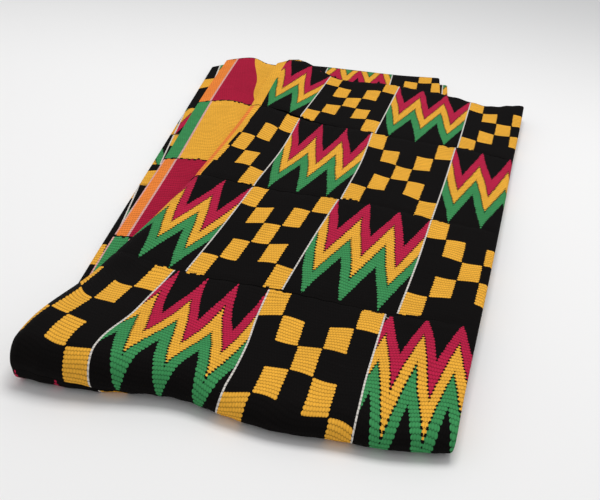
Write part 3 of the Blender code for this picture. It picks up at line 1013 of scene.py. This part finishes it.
def painted_rib_shade_and_warp_dots(graph, rib, inlaid):
    """Brightness of the yarn: painted shade that is lighter on the crowns of its ribs and beads and darker
    between them, and the dark dotted grooves between the ribs, partly the dark warp showing and partly
    painted shade.
    """
    _, _, height, bead, warp_dots_and_groove_shade = rib
    # How dark the grooves are drawn: partly the dark warp showing and partly painted shade in the grooves
    warp_dot_and_shade_darkness = graph.plus(WARP_DOTS_AND_SHADE_ON_GROUND, graph.times(inlaid, WARP_DOTS_AND_SHADE_ON_YARN))
    # Painted shade: the crown of each rib is drawn lighter than its edges
    shade = graph.plus(PLAIN_SHADE, graph.times(height, RIB_PAINTED_SHADE))
    shade = graph.math("MAXIMUM", graph.minus(shade, graph.times(warp_dots_and_groove_shade, warp_dot_and_shade_darkness)), LEAST_SHADE)
    # Painted shade: each bead is drawn lighter at its crown and darker between beads
    return graph.plus(shade, graph.times(graph.minus(bead, BEAD_PAINTED_SHADE_MIDDLE), BEAD_PAINTED_SHADE))


def block_colour(graph, given, row, rib):
    """Colour of the woven blocks and the white lines between them, where yarn is inlaid, and chance."""
    pattern, _ = graph.uv("pattern")
    rib_number, _, height, _, _ = rib
    number = graph.math("FLOOR", pattern)
    block = graph.math("FRACT", pattern)
    seed = graph.plus(number, graph.times(given["start_kind"], KIND_SEED))
    cell = graph.math("FLOOR", graph.times(block, CHANCE_CELLS))
    chance = graph.white_noise(graph.triple(rib_number, seed, cell))
    zigzag, zigzag_inlaid = zigzag_colour(graph, block, row, rib, chance, given["first_peak"])
    check_inlaid = check_inlay(graph, block, row, height, chance)
    kind = graph.math("FLOORED_MODULO", graph.plus(number, given["start_kind"]), 2.0)
    colour = graph.mix(kind, zigzag, graph.mix(check_inlaid, BLACK, GOLD))
    inlaid = graph.blend(kind, zigzag_inlaid, check_inlaid)
    line = graph.below(graph.math("MINIMUM", block, graph.minus(1.0, block)), WHITE_LINE_HALF)
    # Painted shade of the white yarn's plies: drawn lighter and darker in turn along the line
    painted_twist_shade = graph.spread(TWIST_PAINTED_SHADE, graph.wave(graph.times(row, TWISTS_PER_RIB * RIBS)))
    colour = graph.mix(line, colour, graph.shaded(WHITE, painted_twist_shade))
    return colour, graph.math("MAXIMUM", inlaid, line), chance


def empty_group():
    """Node group with only the weave's inputs and outputs."""
    tree = bpy.data.node_groups.new("kente_weave", "ShaderNodeTree")
    add_sockets(tree, "INPUT", "Float", ("start_kind", "first_peak") + END_COLUMNS[:YARNS_FROM])
    add_sockets(tree, "INPUT", "Color", END_COLUMNS[YARNS_FROM:])
    add_sockets(tree, "OUTPUT", "Color", ("Colour",))
    add_sockets(tree, "OUTPUT", "Float", ("Height", "Roughness"))
    return tree


def weave_group():
    """Node group that gives the cloth's colour, height and roughness from lengths along the cloth."""
    tree = empty_group()
    graph = Graph(tree)
    given = graph.node("NodeGroupInput").outputs
    _, row = graph.uv("pattern")
    along, flat_y = graph.uv("cloth")
    rib = rib_parts(graph, row, along)
    _, _, height, bead, _ = rib
    colour, inlaid, chance = block_colour(graph, given, row, rib)
    colour, inlaid = end_bands(graph, colour, inlaid, given)
    colour = seam_stitches(graph, colour, along)
    cloudy = graph.noise(graph.triple(along, flat_y, 0.0), *CLOUD_NOISE)
    fuzzy = graph.noise(graph.triple(along, graph.times(flat_y, FUZZ_STRETCH), 0.0), *FUZZ_NOISE)
    # Painted shade of the ribs and beads, times the yarn's own uneven tone from chance, cloud and fuzz
    shade = painted_rib_shade_and_warp_dots(graph, rib, inlaid)
    for span, value in ((CHANCE_SHADE, chance), (CLOUD_SHADE, cloudy), (FUZZ_SHADE, fuzzy)):
        shade = graph.times(shade, graph.spread(span, value))
    made = graph.node("NodeGroupOutput").inputs
    graph.feed(made["Colour"], graph.shaded(colour, shade))
    raised = graph.plus(graph.times(height, RIB_HEIGHT), graph.times(bead, BEAD_HEIGHT))
    raised = graph.blend(inlaid, graph.times(height, GROUND_RIB_HEIGHT), graph.plus(INLAY_HEIGHT, raised))
    graph.feed(made["Height"], graph.plus(raised, graph.times(fuzzy, FUZZ_HEIGHT)))
    graph.feed(made["Roughness"], graph.blend(inlaid, GROUND_ROUGHNESS, YARN_ROUGHNESS))
    return tree


def strip_material(index, group):
    """Woven cotton of one strip."""
    material = bpy.data.materials.new(f"kente_strip_{index + 1}")
    material.use_nodes = True
    graph = Graph(material.node_tree)
    shader = material.node_tree.nodes["Principled BSDF"]
    weave = graph.node("ShaderNodeGroup", node_tree=group)
    weave.inputs["start_kind"].default_value = float((index + 1) % 2)
    weave.inputs["first_peak"].default_value = FIRST_PEAKS[index]
    for name, value in zip(END_COLUMNS, END_ROWS[index]):
        weave.inputs[name].default_value = (*YARNS[value], 1.0) if name.endswith("yarn") else 0.001 * value
    bump = graph.node("ShaderNodeBump")
    bump.inputs["Strength"].default_value = BUMP_STRENGTH
    bump.inputs["Distance"].default_value = BUMP_DISTANCE
    graph.feed(bump.inputs["Height"], weave.outputs["Height"])
    graph.feed(shader.inputs["Base Color"], weave.outputs["Colour"])
    graph.feed(shader.inputs["Roughness"], weave.outputs["Roughness"])
    graph.feed(shader.inputs["Normal"], bump.outputs["Normal"])
    shader.inputs["Specular IOR Level"].default_value = YARN_SPECULAR
    return material


def floor_material():
    """Plain matt white with painted shade, darker away behind the cloth."""
    material = bpy.data.materials.new("pale_floor")
    material.use_nodes = True
    graph = Graph(material.node_tree)
    shader = material.node_tree.nodes["Principled BSDF"]
    parts = graph.node("ShaderNodeSeparateXYZ")
    graph.feed(parts.inputs[0], graph.node("ShaderNodeTexCoord").outputs["Object"])
    # Painted shade: the floor is drawn darker between the first and the second place along Y
    share = graph.node("ShaderNodeMapRange", interpolation_type="SMOOTHSTEP")
    graph.feed(share.inputs["Value"], parts.outputs[1])
    share.inputs["From Min"].default_value = FLOOR_PAINTED_SHADE_SPAN[0]
    share.inputs["From Max"].default_value = FLOOR_PAINTED_SHADE_SPAN[1]
    graph.feed(shader.inputs["Base Color"], graph.mix(share.outputs[0], FLOOR_NEAR, FLOOR_FAR_PAINTED_SHADE))
    shader.inputs["Roughness"].default_value = FLOOR_ROUGHNESS
    return material


def build_floor():
    """Plain pale surface that the cloth lies on."""
    corners = FLOOR_HALF * np.array([(-1, -1, 0), (1, -1, 0), (1, 1, 0), (-1, 1, 0)])
    mesh = bpy.data.meshes.new("floor")
    mesh.from_pydata(corners.tolist(), [], [(0, 1, 2, 3)])
    floor = bpy.data.objects.new("floor", mesh)
    bpy.context.scene.collection.objects.link(floor)
    floor.data.materials.append(floor_material())


def turned_to(side, up, away, place):
    """The turn and place of an object as a matrix, from its three axes."""
    axes = np.stack([side, up, away, place], axis=1)
    return Matrix(np.vstack([axes, (0, 0, 0, 1)]).tolist())


def add_area_light(name, place, aim, size, power):
    """A square area light that looks from a place to an aim."""
    light = bpy.data.lights.new(name, "AREA")
    light.size = size
    light.energy = power
    lamp = bpy.data.objects.new(name, light)
    away = np.array(place) - np.array(aim)
    away = away / np.linalg.norm(away)
    side = np.cross((0.0, 1.0, 0.0), away)
    side = side / np.linalg.norm(side)
    up = np.cross(away, side)
    lamp.matrix_world = turned_to(side, up, away, place)
    bpy.context.scene.collection.objects.link(lamp)


def light_scene():
    """Soft studio light: a pale room, and a wide lamp high above and a little behind."""
    world = bpy.data.worlds.new("studio")
    world.use_nodes = True
    background = world.node_tree.nodes["Background"]
    background.inputs["Color"].default_value = ROOM_COLOUR
    background.inputs["Strength"].default_value = ROOM_STRENGTH
    bpy.context.scene.world = world
    add_area_light("wide_lamp", LAMP_PLACE, (0.0, 0.0, 0.0), LAMP_SIZE, LAMP_POWER)
    bpy.context.scene.view_settings.view_transform = "Standard"


def place_camera():
    """The photograph's camera: it looks at a point of the cloth from the front and right, slightly rolled."""
    level = math.cos(CAMERA_ELEVATION)
    flat_away = np.array([math.sin(CAMERA_AZIMUTH), -math.cos(CAMERA_AZIMUTH), 0.0])
    away = level * flat_away + np.array([0.0, 0.0, math.sin(CAMERA_ELEVATION)])
    target = np.array(CAMERA_TARGET) + (0.0, 0.0, TOP_HEIGHT) - np.array(CLOTH_CENTRE)
    place = target + CAMERA_DISTANCE * away
    flat_right = np.array([math.cos(CAMERA_AZIMUTH), math.sin(CAMERA_AZIMUTH), 0.0])
    flat_up = np.cross(away, flat_right)
    right = math.cos(CAMERA_ROLL) * flat_right + math.sin(CAMERA_ROLL) * flat_up
    up = -math.sin(CAMERA_ROLL) * flat_right + math.cos(CAMERA_ROLL) * flat_up
    data = bpy.data.cameras.new("camera")
    data.sensor_width = SENSOR_WIDTH
    data.lens = FOCAL_PIXELS / PHOTO_WIDTH * SENSOR_WIDTH
    data.clip_start = CLIP_START
    camera = bpy.data.objects.new("camera", data)
    camera.matrix_world = turned_to(right, up, away, place)
    bpy.context.scene.collection.objects.link(camera)
    bpy.context.scene.camera = camera


def build_cloth():
    """All strips, each riding on the frame and standing for its solid."""
    group = weave_group()
    for index in range(STRIP_COUNT):
        node = f"strip_{index + 1}"
        piece = build_strip(index)
        piece.data.materials.append(strip_material(index, group))
        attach(piece, "root")
        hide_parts(node)


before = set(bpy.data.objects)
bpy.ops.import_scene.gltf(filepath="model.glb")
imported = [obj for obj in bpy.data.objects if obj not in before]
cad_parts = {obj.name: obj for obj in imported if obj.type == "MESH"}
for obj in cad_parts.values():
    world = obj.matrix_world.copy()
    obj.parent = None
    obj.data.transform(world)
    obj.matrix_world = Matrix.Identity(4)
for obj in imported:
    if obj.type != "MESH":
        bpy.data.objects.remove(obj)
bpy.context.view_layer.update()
place_camera()
build_cloth()
build_floor()
light_scene()
